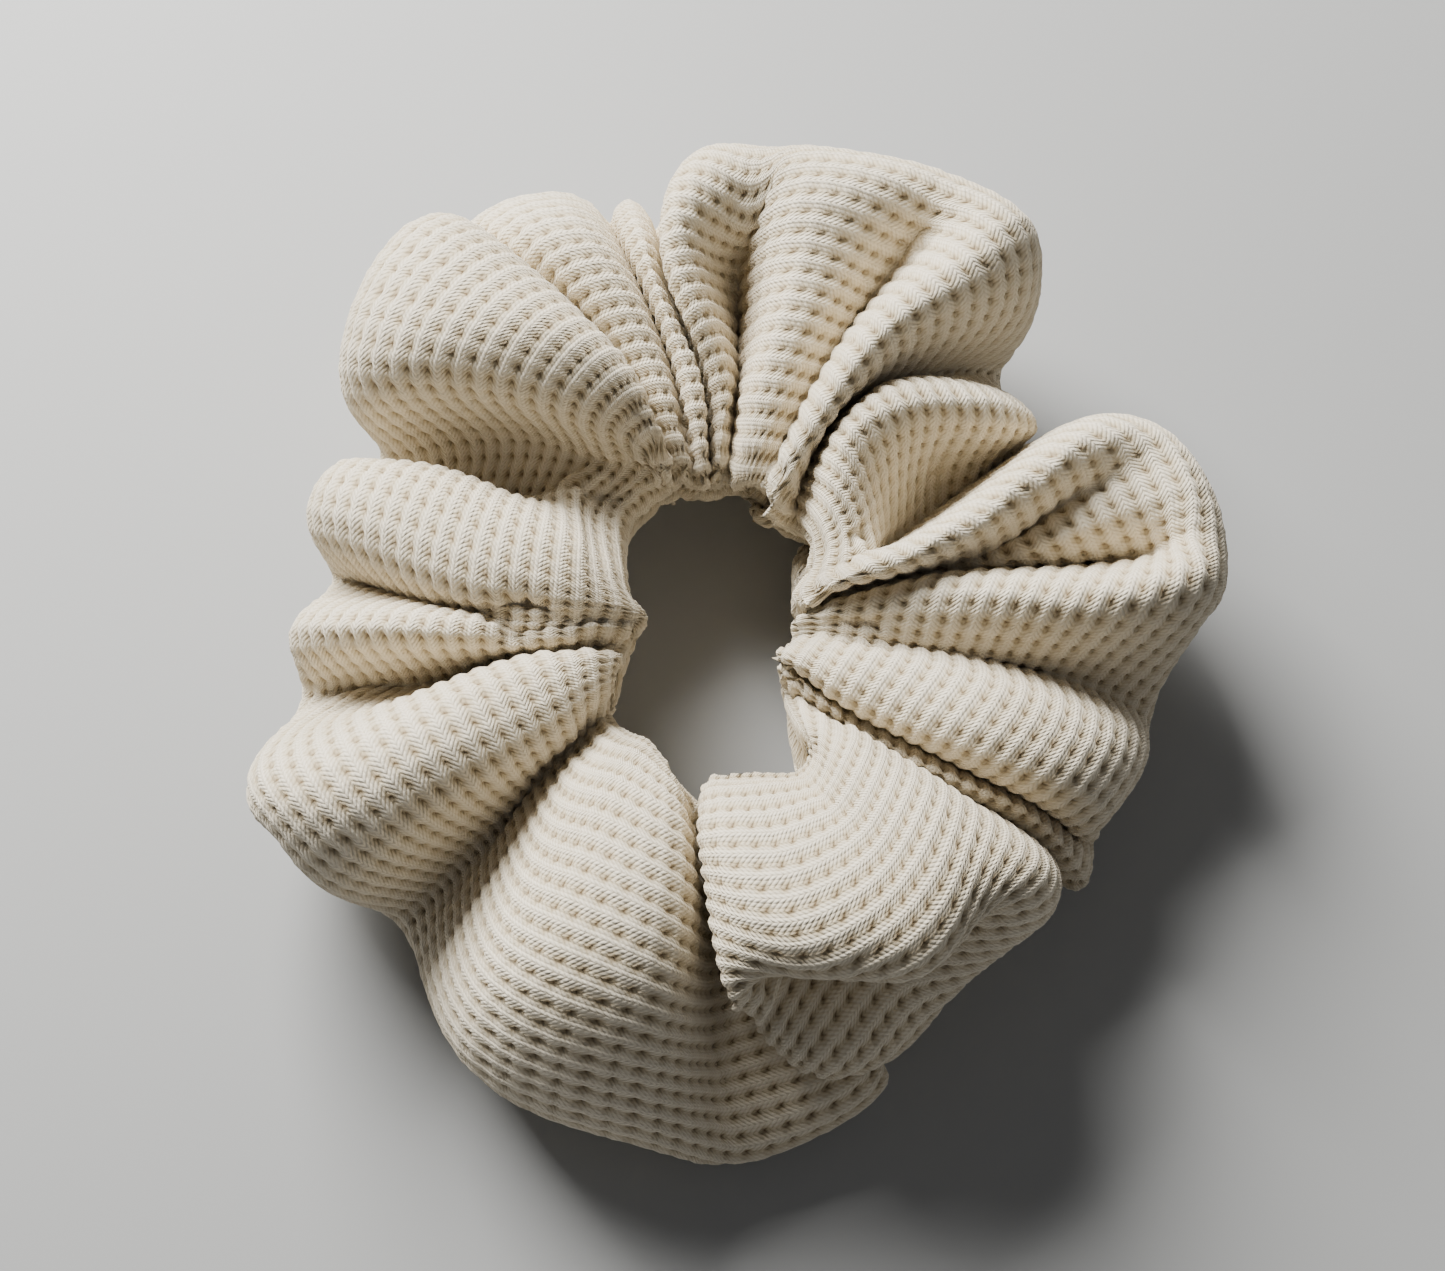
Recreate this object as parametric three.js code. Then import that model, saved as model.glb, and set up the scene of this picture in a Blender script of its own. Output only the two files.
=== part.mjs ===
// A hair scrunchie: a gathered tube of waffle-knit fabric with a flat elastic loop inside it.
// Millimetres, +Z up. The origin is under the middle of the object, on the surface it lies on.
//
// The tube and the loop are each one piece of material. They are modelled as two halves that meet
// on the plane x = hole.x, because the right half slides away from the left one as the scrunchie
// is pulled open.
import * as THREE from "three";
import { LoftGeometry } from "three/addons/geometries/LoftGeometry.js";

// ---------- Driving dimensions ----------

const meetingGap = 0.3; // between two pieces that touch

// The hole in the middle, which hair goes through.
const hole = { x: -6.05, y: -1.65, halfWidth: 8.5, halfDepth: 15 };

// The gathered tube.
const wall = 1.6; // a waffle knit is this thick with its ribs
const lowestTop = 27; // height of the fabric in the furrows between pleats
const furrowLift = 3; // how far the furrows stay off the surface below
const flattening = 3; // how far the crests would sink into that surface if they stayed round
const furrowDepth = 7; // how far the furrows stay inside the pleats' reach
const stationsPerPleat = 8;
const cavityStationsPerPleat = 4;
const sectionPoints = 18;

// Each pleat's crest: its direction from the hole in degrees, how far it reaches, and its height.
// The crests at 90 and 270 degrees are on the plane where the two halves meet.
const pleats = [
  { at: 2, reach: 66, height: 36 },
  { at: 27, reach: 60, height: 38 },
  { at: 52, reach: 66, height: 35 },
  { at: 73, reach: 66, height: 38 },
  { at: 90, reach: 63, height: 37 },
  { at: 109, reach: 61, height: 35 },
  { at: 129, reach: 68, height: 38 },
  { at: 154, reach: 54, height: 33 },
  { at: 175, reach: 50, height: 35 },
  { at: 196, reach: 56, height: 36 },
  { at: 220, reach: 50, height: 33 },
  { at: 245, reach: 57, height: 36 },
  { at: 270, reach: 60, height: 34 },
  { at: 292, reach: 60, height: 35 },
  { at: 315, reach: 54, height: 37 },
  { at: 336, reach: 56, height: 34 },
];

// The seam allowance that stands up inside the tube where the fabric's long edges are joined.
const seamAllowance = { point: 13, height: 5 };

// The elastic: a flat braid, lapped and stitched where its ends meet.
const elastic = { radius: 24, width: 6, thick: 1, middleZ: 15, lapHalfAngle: 15 };
const arcSteps = 40;

// Sewing thread.
const thread = { across: 0.5, sides: 6 };
const lapStitch = { halfAngle: 11, steps: 14, halfWidth: 2 };
const sideSeam = { steps: 40, zigzag: 0.6, above: 1.3 };
const closingSeam = { place: 4.5, clearance: 0.9, trimAtHole: 0.95, trimOutside: 0.35, steps: 16 };

// ---------- Materials ----------

const knit = new THREE.MeshStandardMaterial({ color: 0xd6cbb6, roughness: 0.95, metalness: 0 });
const braid = new THREE.MeshStandardMaterial({ color: 0xe9e4d8, roughness: 0.85, metalness: 0 });
const sewingThread = new THREE.MeshStandardMaterial({ color: 0xdcd2bf, roughness: 0.6, metalness: 0 });

// ---------- The tube's cross-section at any place round the hole ----------

const radians = THREE.MathUtils.degToRad;

// 1 on a crest and 0 in a furrow. The crests are round and the furrows sharp.
function crestness(share) {
  return Math.pow(Math.abs(Math.cos(Math.PI * share)), 0.7);
}

// The section at a place counted in pleats: 4 is on the fourth pleat's crest, 4.5 in the furrow
// after it.
function sectionAt(place) {
  const count = pleats.length;
  const index = Math.floor(place) % count;
  const before = pleats[index];
  const next = pleats[(index + 1) % count];
  const share = place - Math.floor(place);
  const turn = next.at > before.at ? next.at - before.at : next.at + 360 - before.at;
  const angle = radians(before.at + share * turn);
  const crest = crestness(share);
  const smooth = THREE.MathUtils.smoothstep(share, 0, 1);
  const reach = THREE.MathUtils.lerp(before.reach, next.reach, smooth) - furrowDepth * (1 - crest);
  const height = THREE.MathUtils.lerp(before.height, next.height, smooth);
  const top = THREE.MathUtils.lerp(lowestTop, height, crest);
  const bottom = THREE.MathUtils.lerp(furrowLift, -flattening, crest);
  const inner = (hole.halfWidth * hole.halfDepth)
    / Math.hypot(hole.halfDepth * Math.cos(angle), hole.halfWidth * Math.sin(angle));
  return { angle, inner, reach, top, bottom };
}

// A point on the section, at a share of the way round it and a depth below its surface.
function pointOnSection({ angle, inner, reach, top, bottom }, round, depth) {
  const halfAcross = (reach - inner) / 2 - depth;
  const halfHigh = (top - bottom) / 2 - depth;
  const fromHole = (reach + inner) / 2 + halfAcross * Math.cos(round);
  const swell = 1 + 0.12 * Math.cos(round); // the outer side is fatter than the gathered inner one
  const z = Math.max(depth, (top + bottom) / 2 + (halfHigh * Math.sin(round) * swell) / 1.06);
  return new THREE.Vector3(
    hole.x + fromHole * Math.cos(angle),
    hole.y + fromHole * Math.sin(angle),
    z,
  );
}

function roundAt(index) {
  return (index / sectionPoints) * 2 * Math.PI;
}

function outerSection(place) {
  const section = sectionAt(place);
  return Array.from({ length: sectionPoints }, (_, i) => pointOnSection(section, roundAt(i), 0));
}

function seamCrestAt(place) {
  const section = sectionAt(place);
  return pointOnSection(section, roundAt(seamAllowance.point), wall + seamAllowance.height);
}

function cavitySection(place) {
  const section = sectionAt(place);
  const points = Array.from({ length: sectionPoints }, (_, i) =>
    pointOnSection(section, roundAt(i), wall));
  points[seamAllowance.point] = seamCrestAt(place);
  return points;
}

// ---------- Pieces ----------

function piece(name, geometry, material) {
  const mesh = new THREE.Mesh(geometry, material);
  mesh.name = name;
  return mesh;
}

// Half of the tube: its outer surface one way, then the inside of its wall the other way.
function casingHalf(name, from, to) {
  const outerStations = (to - from) * stationsPerPleat;
  const cavityStations = (to - from) * cavityStationsPerPleat;
  const sections = [];
  for (let i = 0; i <= outerStations; i++)
    sections.push(outerSection(from + i / stationsPerPleat));
  for (let i = cavityStations; i >= 0; i--)
    sections.push(cavitySection(from + i / cavityStationsPerPleat));
  sections.push(sections[0].map((point) => point.clone()));
  for (const section of sections) section.reverse();
  return piece(name, new LoftGeometry(sections), knit);
}

// A stretch of the elastic, whose radius may change from its start to its end.
function elasticStretch(name, fromDegrees, toDegrees, radiusAt) {
  const shape = new THREE.Shape();
  const place = (i, side) => {
    const share = i / arcSteps;
    const angle = radians(THREE.MathUtils.lerp(fromDegrees, toDegrees, share));
    const radius = radiusAt(share) + (side * elastic.thick) / 2;
    return [hole.x + radius * Math.cos(angle), hole.y + radius * Math.sin(angle)];
  };
  shape.moveTo(...place(0, 1));
  for (let i = 1; i <= arcSteps; i++) shape.lineTo(...place(i, 1));
  for (let i = arcSteps; i >= 0; i--) shape.lineTo(...place(i, -1));
  const band = new THREE.ExtrudeGeometry(shape, { depth: elastic.width, bevelEnabled: false });
  const mesh = piece(name, band, braid);
  mesh.position.z = elastic.middleZ - elastic.width / 2;
  return mesh;
}

function threadAlong(name, points, steps) {
  const section = new THREE.Shape();
  for (let i = 0; i < thread.sides; i++) {
    const turn = (i / thread.sides) * 2 * Math.PI;
    const [x, y] = [(thread.across / 2) * Math.cos(turn), (thread.across / 2) * Math.sin(turn)];
    if (i === 0) section.moveTo(x, y);
    else section.lineTo(x, y);
  }
  const route = new THREE.CatmullRomCurve3(points);
  const geometry = new THREE.ExtrudeGeometry(section, { steps, extrudePath: route });
  return piece(name, geometry, sewingThread);
}

// The zigzag that joins the elastic's ends, on one face of the lap.
function lapThread(name, radius) {
  const points = [];
  for (let i = 0; i <= lapStitch.steps; i++) {
    const share = i / lapStitch.steps;
    const angle = radians(THREE.MathUtils.lerp(-lapStitch.halfAngle, lapStitch.halfAngle, share));
    const side = i % 2 === 0 ? 1 : -1;
    points.push(new THREE.Vector3(
      hole.x + radius * Math.cos(angle),
      hole.y + radius * Math.sin(angle),
      elastic.middleZ + side * lapStitch.halfWidth,
    ));
  }
  return threadAlong(name, points, lapStitch.steps * 3);
}

// The overlock thread along the edge of the seam allowance, inside the tube.
function sideSeamThread(name, from, to) {
  const points = [];
  for (let i = 0; i <= sideSeam.steps; i++) {
    const point = seamCrestAt(THREE.MathUtils.lerp(from, to, i / sideSeam.steps));
    const outward = new THREE.Vector2(point.x - hole.x, point.y - hole.y).normalize();
    const side = (i % 2 === 0 ? 1 : -1) * sideSeam.zigzag;
    point.x += outward.x * side;
    point.y += outward.y * side;
    point.z += sideSeam.above + sideSeam.zigzag;
    points.push(point);
  }
  return threadAlong(name, points, sideSeam.steps * 2);
}

// The row of stitches that closes the tube's ends, in a furrow over the tube (1) or under it (-1).
function closingThread(name, side) {
  const section = sectionAt(closingSeam.place);
  const { trimAtHole, trimOutside, clearance, steps } = closingSeam;
  const points = [];
  for (let i = 0; i <= steps; i++) {
    const round = THREE.MathUtils.lerp(Math.PI - trimAtHole, trimOutside, i / steps);
    points.push(pointOnSection(section, side * round, -clearance));
  }
  return threadAlong(name, points, closingSeam.steps * 2);
}

// ---------- Assembly ----------

const lapOuterRadius = elastic.radius;
const lapInnerRadius = elastic.radius - elastic.thick - meetingGap;
const toThread = elastic.thick / 2 + meetingGap + thread.across / 2;
const endTurn = 0.4; // degrees that the elastic stops short of its half's end
const [upperEnd, lowerEnd] = [4, 12]; // the pleats on the plane where the halves meet
const endShort = 0.02; // pleats that the side seam's thread stops short of its half's end
// The upper end joins at the elastic's own radius, and the lower end moves under it towards the lap.
const underLap = (share) =>
  THREE.MathUtils.lerp(elastic.radius, lapInnerRadius, THREE.MathUtils.smoothstep(share, 0.1, 0.7));

const leftHalf = new THREE.Group();
leftHalf.position.x = -meetingGap / 2;
leftHalf.add(
  casingHalf("casing_left", upperEnd, lowerEnd),
  elasticStretch("elastic_left", 90 + endTurn, 270 - endTurn, () => elastic.radius),
  sideSeamThread("side_seam_thread_left", upperEnd + endShort, lowerEnd - endShort),
  closingThread("closing_seam_needle_thread", 1),
  closingThread("closing_seam_bobbin_thread", -1),
);

const rightHalf = new THREE.Group();
rightHalf.position.x = meetingGap / 2;
rightHalf.add(
  casingHalf("casing_right", lowerEnd, upperEnd + pleats.length),
  elasticStretch("elastic_upper_end", 90 - endTurn, -elastic.lapHalfAngle, () => lapOuterRadius),
  elasticStretch("elastic_under_end", -90 + endTurn, elastic.lapHalfAngle, underLap),
  lapThread("lap_needle_thread", lapOuterRadius + toThread),
  lapThread("lap_bobbin_thread", lapInnerRadius - toThread),
  sideSeamThread(
    "side_seam_thread_right",
    lowerEnd + endShort,
    upperEnd + pleats.length - endShort,
  ),
);

const scrunchie = new THREE.Group();
scrunchie.add(leftHalf, rightHalf);

export default scrunchie;
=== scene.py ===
# Looks for a hair scrunchie: a waffle-knit tube gathered on a flat elastic loop.
# The cloth is folded from a table of its pleats and then settled. Its threads are squeezed at the
# elastic and pulled in places, so the tube keeps its flat length and girth only roughly.
# Known faults: the casing passes through itself in places, most of all next to the opening and
# below. The elastic lies outside it at the front. Only the front of the ring reaches the floor.
# Distances in the tables are millimetres. The finished pieces are in metres.
import math

import bpy
import numpy as np
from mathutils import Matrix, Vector


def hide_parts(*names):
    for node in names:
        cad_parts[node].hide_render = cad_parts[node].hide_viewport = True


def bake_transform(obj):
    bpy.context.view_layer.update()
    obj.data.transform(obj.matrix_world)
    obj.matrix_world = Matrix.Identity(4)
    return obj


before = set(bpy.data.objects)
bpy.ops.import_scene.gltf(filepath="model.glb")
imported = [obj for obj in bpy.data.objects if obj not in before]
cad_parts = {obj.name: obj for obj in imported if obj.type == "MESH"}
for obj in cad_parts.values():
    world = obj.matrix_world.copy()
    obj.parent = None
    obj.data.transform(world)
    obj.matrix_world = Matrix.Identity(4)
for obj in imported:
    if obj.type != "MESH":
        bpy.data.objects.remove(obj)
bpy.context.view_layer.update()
MM = 0.001

# ---------- Sizes ----------

HOLE = np.array([-6.05, -1.65, 0.0])   # the middle of the opening
CELL = 2.35                            # one repeat of the waffle, both ways
ROWS = 45                              # repeats round the tube, 106 mm
COLUMNS = 236                          # repeats along the tube, 555 mm
PIT = 0.76                             # how deep the waffle's pits are
RUNG_DIP = 0.42                        # how deep its rungs are, as a share of a pit
RIB_DIP = 0.06                         # how much a rib dips between two rungs
LIFT = 0.3                             # of the ribs above the middle of the cloth
UNEVEN = 0.035                         # hand-made unevenness of the surface
SEAM_GROOVE = 0.5                      # how far the long seam draws the cloth in
WALL = 0.8                             # from the middle of the cloth to its inner face
# Where the three points of each repeat lie, along the tube and round it. The middle one is the pit.
ALONG_REPEAT = (0.16, 0.5, 0.84)
ROUND_REPEAT = (0.15, 0.5, 0.85)
ELASTIC_RADIUS = 24.0
ELASTIC_HEIGHT = 15.0                  # of the band's middle above the floor
ELASTIC_WIDTH = 6.0
ELASTIC_THICK = 1.0
LAP_HALF_ANGLE = 15                    # degrees that the lap reaches to each side of +X
LAP_GAP = 0.3                          # between the lap's two ends
THREAD_LIFT = 0.3                      # of the lap's stitches off the elastic
SEAM_ROW = 37                          # where the tube's long seam runs, inside and below
CLOSING_PLEAT = "furrow 7"             # the furrow that hides the seam across the tube

# Settling the cloth.
SETTLED_FLOOR = 0.5                    # lowest place of the cloth's middle
FINISHED_FLOOR = 0.1                   # lowest place of its surface
OUTSIDE_GAP = 1.3                      # between two outsides that touch
INSIDE_GAP = 2.2                       # between two insides that touch
CONTACT_REACH = 3.6                    # how near cloth must be to be looked at for contact
ELASTIC_ROOM = 2.2                     # that the cloth keeps from the elastic's middle
# The threads to each point's neighbours, by steps along and round the tube: how short and how
# long each may get, in repeats, and how strongly it is brought back.
THREADS = {
    (-1, 0): (0.84, 1.12, 0.5),
    (0, -1): (0.9, 1.1, 0.5),
    (-1, -1): (1.1, 1.7, 0.25),
    (1, -1): (1.1, 1.7, 0.25),
}

# ---------- The pleats ----------
# Each line runs across the top of the tube, from the opening outwards. After its name comes how
# thick the tube is there, then places along the line: direction in degrees, distance from the
# middle of the opening, and height.

PLEATS = [
    ("furrow 1", 7, (-14, 10, 25), (-11, 24, 23), (-8, 36, 19), (-7, 47, 12), (-8, 56, 7)),
    ("lip 1", 7, (-5, 10, 26), (3, 24, 28), (1, 36, 31), (-1, 45, 33), (0, 53, 33), (0, 62, 25)),
    ("pocket 1", 4, (2, 12, 25), (10, 28, 21), (11, 39, 17), (10, 50, 16), (9, 56, 20),
     (7, 58, 31), (7, 64, 24)),
    ("fold in pocket 1", 4, (5, 12, 25), (12, 28, 22), (11, 38, 25), (14, 47, 27), (14, 55, 27),
     (13, 59, 31), (13, 65, 24)),
    ("pocket 1 far side", 4, (7, 12, 25), (15, 30, 18), (16, 39, 19), (19, 47, 25), (19, 55, 27),
     (18, 59, 31), (19, 65, 24)),
    ("crest 1", 8, (3, 11, 28), (8, 20, 30), (12, 29, 31), (17, 38, 32), (22, 47, 33),
     (24, 54, 31), (26, 62, 22)),
    ("pocket 3", 4, (10, 11, 27), (15, 18, 29), (25, 24, 19), (31, 35, 13), (32, 43, 14),
     (34, 50, 9)),
    ("wall of crest 2", 5, (17, 13, 28), (25, 18, 29), (37, 26, 24), (39, 35, 20), (34, 42, 21),
     (33, 48, 15)),
    ("crest 2", 7, (28, 14, 28), (42, 21, 30), (49, 27, 32), (43, 35, 33), (34, 42, 31),
     (31, 49, 20)),
    ("furrow 3", 6, (50, 16, 22), (60, 27, 22), (56, 38, 19), (50, 50, 12), (46, 56, 8)),
    ("side of crest 3", 8, (54, 14, 25), (57, 27, 28), (55, 39, 27), (48, 51, 24), (44, 62, 14)),
    ("crest 3", 9, (60, 15, 28), (59, 22, 31), (58, 30, 34), (57, 38, 36), (54, 47, 36),
     (50, 58, 36), (48, 66, 32)),
    ("pocket 4", 6, (67, 17, 26), (65, 30, 25), (64, 41, 24), (63, 50, 21), (62, 56, 23),
     (60, 60, 35), (58, 67, 31)),
    ("crest 4", 8, (72, 17, 26), (71, 29, 28), (70, 39, 30), (69, 50, 31), (68, 59, 34),
     (67, 67, 29)),
    ("crest 4 far side", 8, (77, 17, 25), (76, 29, 28), (75, 36, 32), (77, 43, 33), (78, 51, 34),
     (78, 59, 33), (76, 66, 27)),
    ("pocket 2", 4, (81, 18, 22), (82, 27, 20), (83, 36, 13), (84, 45, 11), (85, 49, 17), (84, 50, 31),
     (84, 56, 35), (82, 64, 27)),
    ("crest 5", 7, (84, 18, 24), (87, 31, 26), (92, 37, 31), (95, 44, 34), (93, 53, 34),
     (89, 64, 26)),
    ("furrow 5", 5, (87, 18, 21), (91, 32, 20), (94, 44, 16), (96, 53, 12), (97, 60, 9)),
    ("crest 6", 6, (89, 17, 25), (94, 31, 28), (98, 41, 30), (100, 51, 29), (100, 60, 19)),
    ("furrow 6", 5, (93, 18, 21), (97, 34, 21), (100, 45, 19), (102, 54, 16), (103, 60, 11)),
    ("crest 7", 7, (96, 18, 25), (103, 32, 28), (106, 42, 31), (108, 51, 32), (108, 63, 24)),
    ("crest 7 far side", 6, (98, 18, 24), (106, 32, 27), (111, 41, 30), (116, 52, 32),
     (118, 64, 24)),
    ("furrow 7", 5, (101, 18, 21), (107, 33, 20), (112, 42, 23), (119, 52, 25), (121, 63, 19)),
    ("crest 8", 8, (100, 18, 27), (107, 24, 31), (112, 32, 34), (119, 43, 36), (122, 54, 37),
     (126, 65, 33)),
    ("edge of crest 8", 8, (103, 18, 27), (111, 26, 32), (122, 34, 36), (133, 43, 37),
     (140, 53, 36), (137, 62, 30)),
    ("corner of crest 8", 8, (105, 18, 26), (114, 25, 30), (126, 32, 34), (137, 41, 35),
     (146, 50, 34), (146, 58, 24)),
    ("side of crest 8", 7, (108, 17, 21), (117, 23, 20), (128, 31, 18), (139, 40, 15),
     (148, 48, 12)),
    ("furrow 8", 5, (118, 18, 19), (131, 24, 17), (143, 31, 13), (151, 39, 9), (155, 48, 7)),
    ("crest 9", 7, (165, 8, 25), (160, 17, 29), (157, 26, 30), (154, 36, 30), (156, 45, 27),
     (156, 51, 18)),
    ("crest 9 far side", 7, (181, 6, 25), (179, 17, 29), (177, 27, 30), (173, 36, 30),
     (168, 45, 27), (163, 52, 18)),
    ("furrow 9", 5, (187, 7, 25), (184, 22, 26), (175, 31, 19), (170, 39, 14), (167, 48, 9)),
    ("crest 10", 7, (194, 7, 24), (190, 19, 27), (188, 29, 29), (185, 38, 29), (182, 47, 23),
     (179, 51, 15)),
    ("furrow 10", 5, (198, 9, 21), (191, 23, 20), (188, 33, 15), (187, 42, 11), (188, 50, 10)),
    ("pocket 5", 7, (204, 10, 24), (197, 23, 22), (195, 35, 16), (194, 45, 15), (197, 54, 20),
     (199, 58, 16)),
    ("crest 11", 8, (210, 10, 27), (207, 24, 30), (207, 33, 33), (207, 41, 33), (208, 50, 31),
     (206, 58, 22)),
    ("crest 11 far side", 8, (220, 12, 26), (219, 24, 29), (218, 34, 32), (217, 42, 32),
     (217, 49, 28), (215, 56, 18)),
    ("furrow 11", 6, (223, 15, 20), (224, 25, 19), (224, 34, 16), (223, 42, 11), (222, 49, 7)),
    ("crest 12", 8, (238, 16, 26), (242, 28, 29), (244, 38, 30), (244, 47, 28), (243, 55, 21),
     (243, 61, 11)),
    ("crest 12 middle", 9, (250, 16, 27), (252, 29, 31), (254, 39, 33), (254, 48, 31),
     (255, 56, 22), (255, 62, 12)),
    ("crest 12 far side", 8, (260, 19, 28), (264, 30, 31), (265, 41, 33), (265, 48, 30),
     (265, 55, 20), (267, 62, 10)),
    ("furrow 12", 6, (266, 20, 18), (268, 29, 13), (270, 38, 10), (271, 48, 9), (273, 56, 8),
     (275, 62, 6)),
    ("under fold", 5, (270, 21, 15), (279, 33, 11), (285, 44, 12), (287, 53, 13), (288, 60, 9)),
    ("under fold end", 4, (272, 20, 14), (283, 33, 11), (290, 44, 11), (294, 52, 11), (297, 58, 8)),
    ("back of under fold", 4, (271, 20, 19), (278, 31, 17), (282, 41, 16), (285, 48, 15),
     (286, 52, 13)),
    ("crest 13", 6, (272, 20, 28), (272, 31, 33), (272, 40, 35), (273, 46, 33), (276, 48, 27),
     (279, 49, 23), (285, 56, 18)),
    ("lip of crest 13", 6, (283, 19, 29), (283, 30, 33), (283, 39, 35), (283, 44, 35),
     (285, 46, 32), (284, 42, 28), (284, 36, 25), (286, 41, 21), (289, 50, 20), (292, 58, 15)),
    ("crest 13 middle", 8, (297, 21, 27), (296, 30, 32), (297, 39, 35), (296, 46, 35),
     (296, 51, 32), (297, 47, 27), (299, 42, 23), (300, 49, 18), (301, 54, 13)),
    ("crest 13 far side", 8, (308, 18, 29), (311, 29, 32), (314, 38, 34), (316, 46, 34),
     (317, 51, 31), (317, 54, 23)),
    ("furrow 13", 5, (321, 12, 20), (324, 27, 19), (326, 37, 16), (328, 45, 12), (328, 52, 8)),
    ("crest 14", 5, (323, 11, 23), (322, 28, 24), (324, 37, 25), (327, 43, 24), (327, 50, 18),
     (326, 55, 11)),
    ("furrow 14", 5, (328, 10, 21), (330, 26, 19), (332, 37, 16), (334, 46, 12), (333, 53, 8)),
    ("crest 15", 8, (328, 9, 26), (328, 25, 28), (329, 35, 30), (329, 44, 30), (330, 48, 27),
     (331, 53, 18)),
    ("crest 15 far side", 8, (338, 9, 26), (339, 24, 28), (339, 35, 29), (340, 43, 28),
     (342, 51, 24), (344, 57, 14)),
]


def polar(place):
    """A point from its direction in degrees, distance and height."""
    direction, distance, height = place
    angle = math.radians(direction)
    return [distance * math.cos(angle), distance * math.sin(angle), height]


def even_spacing(path, count):
    """The same path, with its points evenly spaced."""
    run = np.concatenate([[0], np.cumsum(np.linalg.norm(np.diff(path, axis=0), axis=1))])
    even = np.linspace(0, run[-1], count)
    return np.stack([np.interp(even, run, path[:, axis]) for axis in range(3)], axis=1)


def smooth_line(places, count):
    """Evenly spaced points on a smooth line through the given places."""
    knots = np.array([polar(place) for place in places], float)
    knots = np.concatenate([2 * knots[:1] - knots[1:2], knots, 2 * knots[-1:] - knots[-2:-1]])
    path = []
    for k in range(1, len(knots) - 2):
        a, b, c, d = knots[k - 1:k + 3]
        for t in np.linspace(0, 1, 24, endpoint=k == len(knots) - 3):
            path.append(0.5 * (2 * b + (c - a) * t + (2 * a - 5 * b + 4 * c - d) * t**2
                               + (3 * b - a - 3 * c + d) * t**3))
    return even_spacing(np.array(path), count)


def columns_per_pleat(lines):
    """Shares the repeats along the tube between the pleat lines, by how far apart they are."""
    gaps = np.linalg.norm(np.roll(lines, -1, 0) - lines, axis=2)
    middle, outer = gaps.shape[1] // 2, int(gaps.shape[1] * 0.8)
    length = (gaps[:, middle] + gaps[:, outer]) / 2
    wanted = length / length.sum() * COLUMNS
    counts = np.maximum(2, np.round(wanted)).astype(int)
    while counts.sum() != COLUMNS:
        step = int(np.sign(COLUMNS - counts.sum()))
        off = (wanted - counts) * step
        off[(counts <= 2) & (step < 0)] = -99
        counts[int(np.argmax(off))] += step
    return counts


def round_the_ring(values, counts):
    """Smooth values for every column, from values on the pleat lines."""
    total = len(counts)
    out = []
    for k in range(total):
        before, here, there, after = (values[(k + d) % total] for d in (-1, 0, 1, 2))
        last, this, following = counts[k - 1], counts[k], counts[(k + 1) % total]
        leave = ((here - before) / last * this + (there - here) / this * last)
        leave = leave / (last + this) * this
        arrive = ((there - here) / this * following + (after - there) / following * this)
        arrive = arrive / (this + following) * this
        for step in range(this):
            t = step / this
            out.append(
                (2 * t**3 - 3 * t**2 + 1) * here
                + (t**3 - 2 * t**2 + t) * leave
                + (3 * t**2 - 2 * t**3) * there
                + (t**3 - t**2) * arrive
            )
    return np.array(out)


def gathered_tube():
    """The tube as it is first folded: columns, rows, xyz. Row 0 is next to the opening."""
    half = 61
    across = np.linspace(0, 1, half)
    lines = np.array([smooth_line(pleat[2:], half) for pleat in PLEATS])
    # The underside follows plainer lines, through each pleat's ends and its middle.
    start, end = lines[:, :1], lines[:, -1:]
    middle = lines[:, half // 2, None] * 2 - (start + end) / 2
    t = across[None, :, None]
    plain = (1 - t) ** 2 * start + 2 * t * (1 - t) * middle + t**2 * end
    counts = columns_per_pleat(lines)
    top = round_the_ring(lines, counts)
    base = round_the_ring(plain, counts)
    thick = round_the_ring(np.array([pleat[1] for pleat in PLEATS], float), counts)
    outward = np.cross(np.gradient(base, axis=1), np.roll(base, -1, 0) - np.roll(base, 1, 0))
    outward /= np.linalg.norm(outward, axis=2, keepdims=True) + 1e-9
    if outward[:, :, 2].mean() < 0:
        outward = -outward
    belly = np.sqrt(np.clip(4 * across * (1 - across), 0, 1)) * (0.75 + 0.5 * across)
    under = base - outward * (1.5 * thick[:, None] * belly[None, :])[:, :, None]
    ease = np.clip(belly, 0, 1)[None, :, None] * 0.5
    for _ in range(12):
        neighbours = (np.roll(under, 1, 0) + np.roll(under, -1, 0)) / 2
        under = under * (1 - ease) + neighbours * ease
    # The underside sags towards the floor. It gets there only at the front.
    under[:, :, 2] *= 1 - 0.55 * np.clip(belly, 0, 1)
    # The underside is meant to pass below the elastic. From about 280 to 305 degrees the wall of
    # the opening slopes outwards behind the elastic instead, and leaves it outside the tube.
    room = np.clip(1 - np.abs(across - 0.2) / 0.3, 0, 1) ** 0.5
    low = ELASTIC_HEIGHT - 6
    under[:, :, 2] -= np.maximum(under[:, :, 2] - low, 0) * room[None, :]
    under[:, :, 2] = np.minimum(under[:, :, 2], top[:, :, 2] - 2.5 * belly[None, :])
    # Rows are shared between the top and the underside by their lengths, eased along the tube.
    lengths = [np.linalg.norm(np.diff(side, axis=1), axis=2).sum(1) for side in (top, under)]
    share = lengths[0] / (lengths[0] + lengths[1])
    for _ in range(12):
        share = (np.roll(share, 1) + share * 2 + np.roll(share, -1)) / 4
    tube = []
    for over, below, part in zip(top, under, share):
        place = np.arange(ROWS) / ROWS
        on_top = np.clip(place / part, 0, 1)
        beneath = np.clip((1 - place) / (1 - part), 0, 1)
        girth = [np.where(place < part, np.interp(on_top, across, over[:, axis]),
                          np.interp(beneath, across, below[:, axis])) for axis in range(3)]
        tube.append(np.stack(girth, axis=1))
    tube = np.array(tube)
    return tube + HOLE, counts


# ---------- Settling the cloth ----------

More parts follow.
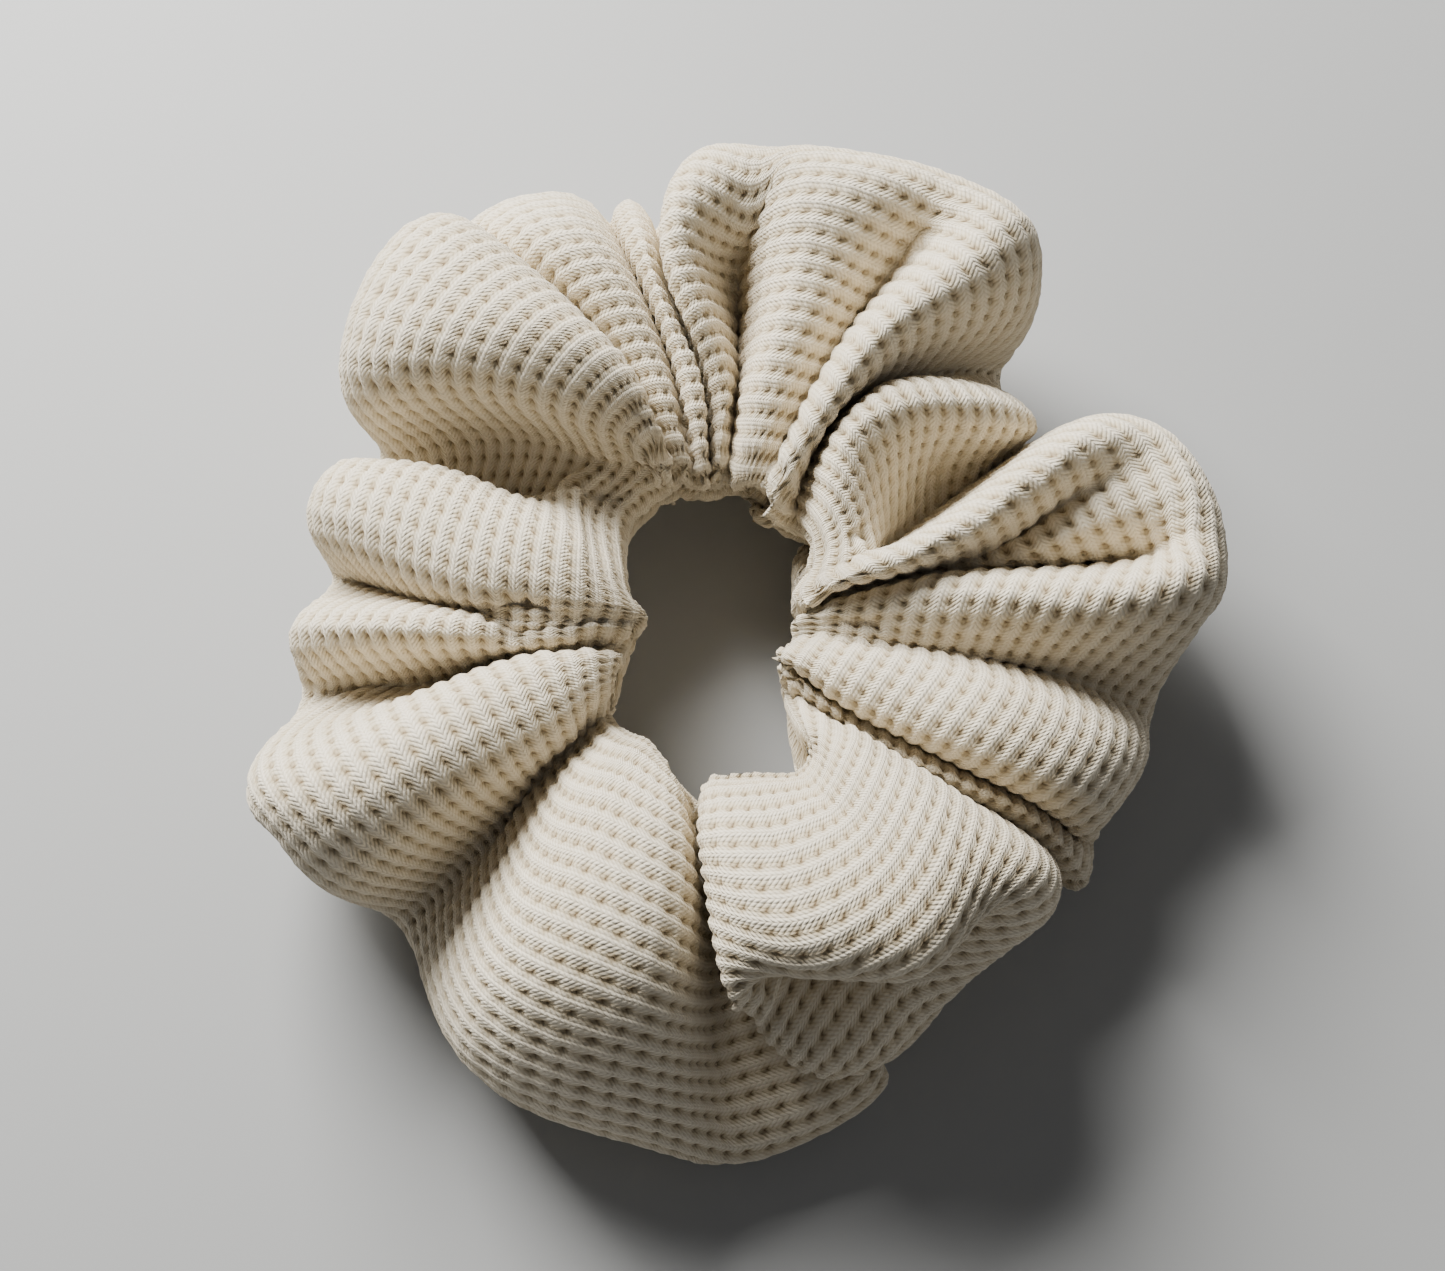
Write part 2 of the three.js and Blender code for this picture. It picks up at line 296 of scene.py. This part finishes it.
def volume_of(tube):
    """Signed volume of the closed tube."""
    a, b = tube, np.roll(tube, -1, 0)
    c, d = np.roll(b, -1, 1), np.roll(tube, -1, 1)
    return (np.einsum("ijk,ijk->", a, np.cross(b, c))
            + np.einsum("ijk,ijk->", a, np.cross(c, d))) / 6


def outward_normals(tube, turn):
    """Unit normals that point out of the tube. turn is 1 or -1, for the way that its grid winds."""
    along = np.roll(tube, -1, 0) - np.roll(tube, 1, 0)
    round_tube = np.roll(tube, -1, 1) - np.roll(tube, 1, 1)
    normals = np.cross(along, round_tube)
    return normals * (turn / (np.linalg.norm(normals, axis=2, keepdims=True) + 1e-9))


def close_pairs(points, reach):
    """Every pair of points nearer than reach, found through a grid of boxes."""
    box = ((points - points.min(0) + reach) / reach).astype(np.int64)
    size = box.max(0) + 2
    number = (box[:, 0] * size[1] + box[:, 1]) * size[2] + box[:, 2]
    order = np.argsort(number, kind="stable")
    in_order = number[order]
    steps = [(x, y, z) for x in (-1, 0, 1) for y in (-1, 0, 1) for z in (-1, 0, 1)]
    firsts, seconds = [], []
    for step in (s for s in steps if s >= (0, 0, 0)):
        wanted = number + (step[0] * size[1] + step[1]) * size[2] + step[2]
        start = np.searchsorted(in_order, wanted, "left")
        count = np.searchsorted(in_order, wanted, "right") - start
        first = np.repeat(np.arange(len(points)), count)
        shift = np.repeat(start - np.concatenate([[0], np.cumsum(count)[:-1]]), count)
        second = order[shift + np.arange(count.sum())]
        apart = points[first] - points[second]
        keep = (apart * apart).sum(1) < reach * reach
        if step == (0, 0, 0):
            keep &= first < second
        firsts.append(first[keep])
        seconds.append(second[keep])
    return np.concatenate(firsts), np.concatenate(seconds)


def round_difference(a, b, total):
    """How far apart two numbers are on a ring of the given total."""
    apart = np.abs(a - b)
    return np.minimum(apart, total - apart)


def threads_to(tube, shift):
    """The threads from each point to a neighbour, and their lengths."""
    thread = np.roll(tube, shift, (0, 1)) - tube
    return thread, np.linalg.norm(thread, axis=2, keepdims=True) + 1e-9


def pull_to_length(tube, shift, shortest, longest, strength):
    """How far each point moves for its threads to keep between two lengths."""
    thread, length = threads_to(tube, shift)
    wanted = np.clip(length, shortest, longest)
    move = thread * ((length - wanted) / length) * strength
    return move - np.roll(move, (-shift[0], -shift[1]), (0, 1))


def sort_contacts(tube, turn, known):
    """Cloth near other cloth, and which of its faces meet: 1 for outsides, -1 for insides."""
    columns, rows = tube.shape[:2]
    points = tube.reshape(-1, 3)
    first, second = close_pairs(points, CONTACT_REACH)
    first, second = np.minimum(first, second), np.maximum(first, second)
    rows_apart = round_difference(first % rows, second % rows, rows)
    columns_apart = round_difference(first // rows, second // rows, columns)
    real = (rows_apart > 2) | (columns_apart > 2)
    first, second = first[real], second[real]
    apart_on_cloth = np.maximum(rows_apart, columns_apart)[real]
    key = first * len(points) + second
    order = np.argsort(key)
    first, second, key, apart_on_cloth = (a[order] for a in (first, second, key, apart_on_cloth))
    normals = outward_normals(tube, turn).reshape(-1, 3)
    line = normals[first] - normals[second]
    side = np.where(((points[second] - points[first]) * line).sum(1) > 0, 1, -1)
    if known is not None:
        # Cloth that has met before keeps its side. Cloth that starts out crossed stays crossed.
        old_key, old_side = known[3], known[4]
        at = np.minimum(np.searchsorted(old_key, key), len(old_key) - 1)
        side = np.where(old_key[at] == key, old_side[at], side)
    return first, second, apart_on_cloth, key, side


def keep_apart(tube, turn, contacts):
    """Pushes cloth off the cloth it touches, outside the tube and inside it."""
    first, second, apart_on_cloth, _, side = contacts
    points = tube.reshape(-1, 3)
    normals = outward_normals(tube, turn).reshape(-1, 3)
    facing = (normals[first] * normals[second]).sum(1) < 0
    first, second, apart_on_cloth, side = (a[facing] for a in (first, second, apart_on_cloth, side))
    apart = points[second] - points[first]
    line = normals[first] - normals[second]
    line /= np.linalg.norm(line, axis=1, keepdims=True) + 1e-9
    distance = (apart * line).sum(1)
    sideways = np.sqrt(np.maximum((apart * apart).sum(1) - distance**2, 0))
    soft = np.clip(1.5 - sideways / 2.4, 0, 1)
    bend = np.clip((apart_on_cloth - 2) / 4.0, 0, 1)
    wanted = np.where(side > 0, OUTSIDE_GAP, INSIDE_GAP) * soft * bend
    push = side * np.clip(wanted - side * distance, 0, 1.2) * 0.5
    moved = np.zeros_like(points)
    hits = np.zeros(len(points))
    for index, sign in ((first, -1), (second, 1)):
        for axis in range(3):
            moved[:, axis] += np.bincount(index, sign * line[:, axis] * push, len(points))
        hits += np.bincount(index, push != 0, len(points))
    return (moved / np.maximum(hits, 1)[:, None] * 0.8).reshape(tube.shape)


def clear_of_elastic(tube):
    """Pushes cloth off the elastic, a tall narrow band, to whichever side the cloth is on."""
    flat = tube[:, :, :2] - HOLE[:2]
    distance = np.linalg.norm(flat, axis=2) + 1e-9
    out = distance - ELASTIC_RADIUS
    up = tube[:, :, 2] - ELASTIC_HEIGHT
    past_edge = np.sign(up) * np.maximum(np.abs(up) - ELASTIC_WIDTH / 2, 0)
    near = np.hypot(out, past_edge) + 1e-9
    push = np.maximum(ELASTIC_ROOM - near, 0) / near
    move = np.zeros_like(tube)
    move[:, :, :2] = flat / distance[:, :, None] * (out * push)[:, :, None]
    move[:, :, 2] = past_edge * push
    return move


def settle(folded, rounds, swell, smooth, hold, hold_inside):
    """Lets the folded tube fill out: it swells, limits its threads and rests on itself.

    It is also held towards its folded shape, so the table decides most of how it looks."""
    tube = folded.copy()
    turn = 1 if volume_of(tube) > 0 else -1
    from_opening = np.minimum(np.arange(ROWS), ROWS - np.arange(ROWS))
    grip = hold + (hold_inside - hold) * np.clip(1 - from_opening / 4.0, 0, 1)
    # Where folding squeezed a thread below its limit, as by the elastic, it may stay squeezed.
    tightest = {shift: np.minimum(short * CELL, threads_to(folded, shift)[1] * 1.02)
                for shift, (short, _, _) in THREADS.items()}
    contacts = None
    for number in range(rounds):
        tube += outward_normals(tube, turn) * swell
        for axis in (0, 1):
            middle = (np.roll(tube, 1, axis) + np.roll(tube, -1, axis)) / 2
            tube += (middle - tube) * (smooth / 2)
        move = np.zeros_like(tube)
        for shift, (_, long, strength) in THREADS.items():
            move += pull_to_length(tube, shift, tightest[shift], long * CELL, strength)
        tube += move * 0.9
        tube += (folded - tube) * grip[None, :, None]
        if number % 4 == 0:
            contacts = sort_contacts(tube, turn, contacts)
        tube += keep_apart(tube, turn, contacts)
        tube += clear_of_elastic(tube)
        tube[:, :, 2] = np.maximum(tube[:, :, 2], SETTLED_FLOOR)
    return tube, turn


# ---------- From the settled cloth to the waffle knit ----------

def finer(tube, axis, places):
    """Points at the given places between settled ones, on smooth curves through them."""
    before, after, beyond = (np.roll(tube, s, axis) for s in (1, -1, -2))
    slices = []
    for t in places:
        slices.append(
            before * ((-t + 2 * t**2 - t**3) / 2)
            + tube * ((2 - 5 * t**2 + 3 * t**3) / 2)
            + after * ((t + 4 * t**2 - 3 * t**3) / 2)
            + beyond * ((-(t**2) + t**3) / 2)
        )
    shape = list(tube.shape)
    shape[axis] *= len(places)
    return np.stack(slices, axis=axis + 1).reshape(shape)


def ring_faces(columns, rows, start, flip):
    """Faces of a closed grid, whose vertices begin at start."""
    i, j = np.meshgrid(np.arange(columns), np.arange(rows), indexing="ij")
    order = [(0, 0), (1, 0), (1, 1), (0, 1)]
    if flip:
        order.reverse()
    faces = np.stack([(start + ((i + a) % columns) * rows + (j + b) % rows).ravel()
                      for a, b in order], axis=1)
    return faces, order


def casing_piece(tube, turn):
    """The knit casing: its waffled outside, and the plain inside of its wall."""
    parts = len(ALONG_REPEAT)
    surface = finer(finer(tube, 0, ALONG_REPEAT), 1, ROUND_REPEAT)
    normals = outward_normals(surface, turn)
    mid_column = (np.arange(surface.shape[0]) % parts == 1)[:, None]
    mid_row = (np.arange(surface.shape[1]) % parts == 1)[None, :]
    depth = np.where(mid_row, np.where(mid_column, PIT, PIT * RUNG_DIP),
                     np.where(mid_column, RIB_DIP, 0))
    seam = SEAM_ROW * parts
    depth[:, seam - 2:seam] = SEAM_GROOVE
    rng = np.random.default_rng(4)
    uneven = rng.normal(0, UNEVEN, surface.shape[:2])
    outside = surface + normals * (LIFT - depth + uneven)[:, :, None]
    outside[:, :, 2] = np.maximum(outside[:, :, 2], FINISHED_FLOOR)
    inside = (tube - outward_normals(tube, turn) * WALL)[:, ::3]
    mesh = bpy.data.meshes.new("casing")
    points = np.concatenate([outside.reshape(-1, 3), inside.reshape(-1, 3)]) * MM
    big, small = surface.shape[:2], inside.shape[:2]
    outer, outer_order = ring_faces(*big, 0, turn < 0)
    inner, inner_order = ring_faces(*small, big[0] * big[1], turn > 0)
    faces = np.concatenate([outer, inner])
    mesh.vertices.add(len(points))
    mesh.vertices.foreach_set("co", points.ravel())
    mesh.loops.add(faces.size)
    mesh.loops.foreach_set("vertex_index", faces.ravel().astype(np.int32))
    mesh.polygons.add(len(faces))
    mesh.polygons.foreach_set("loop_start", np.arange(0, faces.size, 4, dtype=np.int32))
    mesh.polygons.foreach_set("use_smooth", np.ones(len(faces), bool))
    mesh.update(calc_edges=True)
    # The map's units are repeats of the knit: first along the tube, then round it.
    knit = mesh.uv_layers.new(name="knit")
    fine_along = (np.arange(big[0] + 1) // parts) + np.resize(ALONG_REPEAT, big[0] + 1)
    fine_across = (np.arange(big[1] + 1) // parts) + np.resize(ROUND_REPEAT, big[1] + 1)
    corners = []
    for size, order, columns, rows in (
            (big, outer_order, fine_along, fine_across),
            (small, inner_order, np.arange(small[0] + 1.0), np.arange(small[1] + 1.0) * 3)):
        i, j = np.meshgrid(np.arange(size[0]), np.arange(size[1]), indexing="ij")
        corners.append(np.stack(
            [np.stack([columns[i.ravel() + a], rows[j.ravel() + b]], axis=1)
             for a, b in order], axis=1).reshape(-1, 2))
    knit.data.foreach_set("uv", np.concatenate(corners).ravel())
    # The pits' depths, kept for the knit's painted shade in its pits. The inner wall gets a flat 0.4
    # of that painted shade.
    pit_shade_layer = mesh.attributes.new("pit", "FLOAT", "POINT")
    pits = np.concatenate([(depth / PIT).ravel(), np.full(small[0] * small[1], 0.4)])
    pit_shade_layer.data.foreach_set("value", pits.astype(np.float32))
    mesh.validate()
    casing = bpy.data.objects.new("casing", mesh)
    bpy.context.collection.objects.link(casing)
    return casing


# ---------- Materials ----------

def linear(hex_colour):
    """An sRGB hex colour as the linear values that a shader takes."""
    values = [int(hex_colour[i:i + 2], 16) / 255 for i in (0, 2, 4)]
    return [v / 12.92 if v <= 0.04045 else ((v + 0.055) / 1.055) ** 2.4 for v in values] + [1.0]


def add_node(tree, kind, settings=None, **inputs):
    """Adds a node. An input is a value or another node's output, under its name or number."""
    node = tree.nodes.new(kind)
    for name, value in (settings or {}).items():
        setattr(node, name, value)
    for name, value in inputs.items():
        socket = node.inputs[int(name[1:]) if name[1:].isdigit() else name]
        if isinstance(value, bpy.types.NodeSocket):
            tree.links.new(value, socket)
        else:
            socket.default_value = value
    return node


def new_material(name):
    """A material, with its node tree and main shader."""
    material = bpy.data.materials.new(name)
    material.use_nodes = True
    tree = material.node_tree
    return material, tree, tree.nodes["Principled BSDF"]


def cotton_waffle_knit():
    """Undyed cotton waffle knit: matt and a little fuzzy, with warm painted shade down in its pits and
    between its stitches.
    """
    material, tree, shader = new_material("cotton_waffle_knit")
    knit = add_node(tree, "ShaderNodeUVMap", {"uv_map": "knit"}).outputs[0]
    ways = add_node(tree, "ShaderNodeSeparateXYZ", None, _0=knit).outputs
    place = add_node(tree, "ShaderNodeTexCoord").outputs["Object"]
    fibre = add_node(tree, "ShaderNodeTexNoise", None, Vector=place, Scale=2600.0, Detail=3.0)
    tone = add_node(tree, "ShaderNodeTexNoise", None, Vector=place, Scale=60.0, Detail=2.0)
    pit = add_node(tree, "ShaderNodeAttribute", {"attribute_name": "pit"})
    sums = {"along": ways[0], "round": ways[1], "pit": pit.outputs["Fac"],
            "fibre": fibre.outputs["Fac"], "tone": tone.outputs["Fac"]}
    # Each line names its result, then an operation on earlier results or plain numbers.
    for result, operation, *terms in (
            # Knit stitches lie in chevrons along each rib, about 0.6 mm apart.
            ("rib turn", "ADD", "round", 0.5),
            ("rib part", "FRACT", "rib turn"),
            ("rib side", "SUBTRACT", "rib part", 0.5),
            ("off rib", "ABSOLUTE", "rib side"),
            ("rows of stitches", "MULTIPLY", "along", 4.0),
            ("lean of stitches", "MULTIPLY", "off rib", 4.0),
            ("slant", "ADD", "rows of stitches", "lean of stitches"),
            ("stitch angle", "MULTIPLY", "slant", math.pi),
            ("stitch wave", "SINE", "stitch angle"),
            ("stitch", "ABSOLUTE", "stitch wave"),
            ("strand angle", "MULTIPLY", "off rib", math.pi * 5.0),
            ("strand wave", "SINE", "strand angle"),
            ("strand", "ABSOLUTE", "strand wave"),
            ("stitch share", "MULTIPLY", "stitch", 0.6),
            ("strand share", "MULTIPLY", "strand", 0.4),
            ("yarn", "ADD", "stitch share", "strand share"),
            # The knit is cream on its ribs. Painted shade makes it warmer and darker down in its pits
            # and in the gaps between its yarn. Its tone also varies at random.
            ("pit shade", "MULTIPLY", "pit", 0.8),
            ("yarn gap", "SUBTRACT", 1.0, "yarn"),
            ("gap shade", "MULTIPLY", "yarn gap", 0.3),
            ("shade", "ADD", "pit shade", "gap shade"),
            ("tone about middle", "SUBTRACT", "tone", 0.5),
            ("tone share", "MULTIPLY", "tone about middle", 0.25),
            ("deep", "ADD", "shade", "tone share"),
            ("yarn height", "MULTIPLY", "yarn", 0.65),
            ("fibre height", "MULTIPLY", "fibre", 0.45),
            ("height", "ADD", "yarn height", "fibre height")):
        terms = {f"_{k}": sums.get(term, term) for k, term in enumerate(terms)}
        sums[result] = add_node(
            tree, "ShaderNodeMath", {"operation": operation}, **terms).outputs[0]
    # The ramp paints shade: cream on the ribs, through tan, to dark brown in the deepest pits and yarn
    # gaps.
    colour = add_node(tree, "ShaderNodeValToRGB", None, Fac=sums["deep"])
    ramp = colour.color_ramp
    ramp.elements[0].position, ramp.elements[0].color = 0.05, linear("eee4cf")
    ramp.elements[1].position, ramp.elements[1].color = 0.95, linear("6e5a40")
    middle = ramp.elements.new(0.5)
    middle.color = linear("cbbb9c")
    bump = add_node(tree, "ShaderNodeBump", None,
                    Height=sums["height"], Distance=0.00022, Strength=0.9)
    tree.links.new(colour.outputs[0], shader.inputs["Base Color"])
    tree.links.new(bump.outputs[0], shader.inputs["Normal"])
    shader.inputs["Roughness"].default_value = 0.95
    shader.inputs["Specular IOR Level"].default_value = 0.2
    shader.inputs["Sheen Weight"].default_value = 0.5
    shader.inputs["Sheen Roughness"].default_value = 0.45
    shader.inputs["Sheen Tint"].default_value = linear("fff4e0")
    return material


def sewing_thread():
    """Spun polyester thread: slightly glossy, twisted, a shade lighter than the knit."""
    material, tree, shader = new_material("spun_polyester_thread")
    place = add_node(tree, "ShaderNodeTexCoord").outputs["Object"]
    twist = add_node(tree, "ShaderNodeTexWave", {"bands_direction": "DIAGONAL"},
                     Vector=place, Scale=900.0, Distortion=1.5)
    # Painted shade: the twist is lighter on its plies and darker in the grooves between them, on the
    # same bands as its bump.
    painted_twist_shade = add_node(tree, "ShaderNodeMix", {"data_type": "RGBA"}, _0=twist.outputs["Fac"],
                   _6=linear("cfc3ab"), _7=linear("efe7d6"))
    bump = add_node(tree, "ShaderNodeBump", None, Height=twist.outputs["Fac"], Distance=0.00005)
    tree.links.new(painted_twist_shade.outputs[2], shader.inputs["Base Color"])
    tree.links.new(bump.outputs[0], shader.inputs["Normal"])
    shader.inputs["Roughness"].default_value = 0.22
    shader.inputs["Sheen Weight"].default_value = 0.2
    return material


def braided_elastic():
    """White braided elastic: cotton-covered rubber cords side by side, crossed by fine weft."""
    material, tree, shader = new_material("braided_elastic")
    place = add_node(tree, "ShaderNodeTexCoord").outputs["Object"]
    braid = add_node(tree, "ShaderNodeTexWave", {"bands_direction": "Z"},
                     Vector=place, Scale=420.0, Distortion=2.0, Detail=1.0)
    # Painted shade: the grooves between the cords are darker and the cords lighter, on the same bands
    # as the bump.
    shade = add_node(tree, "ShaderNodeMix", {"data_type": "RGBA"}, _0=braid.outputs["Fac"],
                     _6=linear("cfcabd"), _7=linear("f2efe6"))
    bump = add_node(tree, "ShaderNodeBump", None, Height=braid.outputs["Fac"], Distance=0.0001)
    tree.links.new(shade.outputs[2], shader.inputs["Base Color"])
    tree.links.new(bump.outputs[0], shader.inputs["Normal"])
    shader.inputs["Roughness"].default_value = 0.8
    return material


def pale_floor():
    """A plain matt worktop."""
    material, _, shader = new_material("pale_worktop")
    shader.inputs["Base Color"].default_value = linear("a6a7a7")
    shader.inputs["Roughness"].default_value = 0.6
    return material


# ---------- Elastic and threads ----------

def elastic_piece():
    """A flat band bent into a loop, with its ends lapped one inside the other."""
    bpy.ops.object.select_all(action="DESELECT")
    bpy.ops.mesh.primitive_grid_add(x_subdivisions=220, y_subdivisions=16, size=1)
    band = bpy.context.object
    band.name = "elastic"
    points = np.array([v.co for v in band.data.vertices])
    share = points[:, 0] + 0.5
    angle = np.radians(LAP_HALF_ANGLE - share * (360 + 2 * LAP_HALF_ANGLE))
    inner_end = ELASTIC_THICK + LAP_GAP
    radius = ELASTIC_RADIUS - inner_end * np.clip((share - 0.72) / 0.14, 0, 1)
    cords = 0.07 * np.abs(np.sin(points[:, 1] * 8 * math.pi))
    points = np.stack([
        HOLE[0] + (radius + cords) * np.cos(angle),
        HOLE[1] + (radius + cords) * np.sin(angle),
        ELASTIC_HEIGHT + points[:, 1] * ELASTIC_WIDTH,
    ], axis=1)
    band.data.vertices.foreach_set("co", (points * MM).ravel())
    band.data.update()
    wall = band.modifiers.new("thickness", "SOLIDIFY")
    wall.thickness = ELASTIC_THICK * MM
    wall.offset = 0
    bpy.ops.object.modifier_apply(modifier=wall.name)
    bpy.ops.object.mode_set(mode="EDIT")
    bpy.ops.mesh.select_all(action="SELECT")
    bpy.ops.mesh.normals_make_consistent(inside=False)
    bpy.ops.object.mode_set(mode="OBJECT")
    bpy.ops.object.shade_smooth()
    return band


def thread_piece(name, points, across=0.5):
    """A sewing thread along a route, with its ends closed."""
    curve = bpy.data.curves.new(name, "CURVE")
    curve.dimensions = "3D"
    curve.bevel_depth = across / 2 * MM
    curve.bevel_resolution = 1
    curve.use_fill_caps = True
    route = curve.splines.new("POLY")
    route.points.add(len(points) - 1)
    padded = np.concatenate([np.asarray(points) * MM, np.ones((len(points), 1))], axis=1)
    route.points.foreach_set("co", padded.ravel())
    thread = bpy.data.objects.new(name, curve)
    bpy.context.collection.objects.link(thread)
    bpy.ops.object.select_all(action="DESELECT")
    thread.select_set(True)
    bpy.context.view_layer.objects.active = thread
    bpy.ops.object.convert(target="MESH")
    bpy.ops.object.shade_smooth()
    return bpy.context.object


def lap_stitches(name, radius):
    """The zigzag that joins the elastic's ends, on one face of the lap."""
    points = []
    turns = 12
    for step in range(turns * 4 + 1):
        share = step / (turns * 4)
        angle = math.radians(-12 + 24 * share)
        swing = 2 * abs((share * turns) % 1 * 2 - 1) - 1
        points.append([HOLE[0] + radius * math.cos(angle), HOLE[1] + radius * math.sin(angle),
                       ELASTIC_HEIGHT + 2.1 * swing])
    return thread_piece(name, points)


def side_seam_stitches(tube, turn):
    """The overlocked thread along the tube's long seam, just behind the cloth."""
    rows = finer(finer(tube, 0, (0, 0.5)), 1, (0, 0.5))
    normals = outward_normals(rows, turn)
    middle = SEAM_ROW * 2
    points = []
    for column in range(rows.shape[0]):
        side = 1 if column % 2 else 0
        row = (middle + side) % rows.shape[1]
        points.append(rows[column, row] - normals[column, row] * (WALL + 0.5))
    points.append(points[0])
    return thread_piece("side_seam_thread", points)


def closing_stitches(name, tube, turn, column, rows, lift):
    """A row of straight stitches across the tube, each one lying on the cloth and diving in."""
    thirds = (0, 1 / 3, 2 / 3)
    fine = finer(finer(tube, 0, thirds), 1, thirds)
    normals = outward_normals(fine, turn)
    points = []
    for step in range(rows[0] * 3, rows[1] * 3 + 1):
        row = step % fine.shape[1]
        height = lift if step % 3 else -0.6
        points.append(fine[column * 3 + 1, row] + normals[column * 3 + 1, row] * height)
    return thread_piece(name, points, 0.45)


# ---------- Camera, floor and light ----------

def aim(thing, place, target):
    """Puts a camera or light at a place, looking at the target."""
    thing.location = place
    thing.rotation_euler = (Vector(target) - Vector(place)).to_track_quat("-Z", "Y").to_euler()


def soft_light(name, place, size, power, colour):
    """A square soft light that looks at the object."""
    light = bpy.data.lights.new(name, "AREA")
    light.size = size
    light.energy = power
    light.color = colour
    lamp = bpy.data.objects.new(name, light)
    bpy.context.collection.objects.link(lamp)
    aim(lamp, place, (0, 0, 0.01))


camera_data = bpy.data.cameras.new("camera")
camera_data.lens = 52
camera_data.clip_start = 0.01
camera = bpy.data.objects.new("camera", camera_data)
bpy.context.collection.objects.link(camera)
bpy.context.scene.camera = camera
VIEW_FROM_FLOOR = math.radians(70)
VIEW_DISTANCE = 0.252
LOOK_AT = Vector((-0.0038, -0.0023, 0.018))
aim(camera, LOOK_AT + VIEW_DISTANCE * Vector((0, -math.cos(VIEW_FROM_FLOOR),
                                             math.sin(VIEW_FROM_FLOOR))), LOOK_AT)

bpy.ops.object.select_all(action="DESELECT")
bpy.ops.mesh.primitive_plane_add(size=3)
floor = bpy.context.object
floor.name = "floor"
floor.data.materials.append(pale_floor())

soft_light("window", (-0.27, 0.46, 0.40), 0.40, 17.0, (1.0, 0.985, 0.955))
soft_light("room", (0.5, -0.4, 0.6), 0.9, 0.5, (0.97, 0.98, 1.0))
world = bpy.data.worlds.new("soft studio")
bpy.context.scene.world = world
world.use_nodes = True
world.node_tree.nodes["Background"].inputs[0].default_value = (0.40, 0.40, 0.41, 1)
world.node_tree.nodes["Background"].inputs[1].default_value = 0.22

# ---------- Build ----------

folded, counts = gathered_tube()
rounds = 70
settled, turn = settle(folded, rounds, swell=0.06, smooth=0.07, hold=0.03, hold_inside=0.3)

casing = casing_piece(settled, turn)
casing.data.materials.append(cotton_waffle_knit())

elastic = elastic_piece()
elastic.data.materials.append(braided_elastic())

starts = dict(zip((pleat[0] for pleat in PLEATS), np.cumsum(counts) - counts))
closing = int(starts[CLOSING_PLEAT])
top_of_lap = ELASTIC_RADIUS + ELASTIC_THICK / 2 + THREAD_LIFT
under_lap = ELASTIC_RADIUS - ELASTIC_THICK * 1.5 - LAP_GAP - THREAD_LIFT
threads = {
    "lap_needle_thread": lap_stitches("lap needle thread", top_of_lap),
    "lap_bobbin_thread": lap_stitches("lap bobbin thread", under_lap),
    "side_seam_thread": side_seam_stitches(settled, turn),
    "closing_seam_needle_thread": closing_stitches(
        "closing seam needle thread", settled, turn, closing, (1, 21), 0.5),
    "closing_seam_bobbin_thread": closing_stitches(
        "closing seam bobbin thread", settled, turn, closing, (24, 44), 0.5),
}
thread_finish = sewing_thread()
for name, thread in threads.items():
    thread.name = name + "_visible"
    thread.data.materials.clear()
    thread.data.materials.append(thread_finish)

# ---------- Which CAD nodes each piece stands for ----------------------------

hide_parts("casing_left", "casing_right")
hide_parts("elastic_left", "elastic_upper_end", "elastic_under_end")
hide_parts("side_seam_thread_left", "side_seam_thread_right")
for name in ("lap_needle_thread", "lap_bobbin_thread",
             "closing_seam_needle_thread", "closing_seam_bobbin_thread"):
    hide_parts(name)
for piece in (casing, elastic, *threads.values()):
    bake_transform(piece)
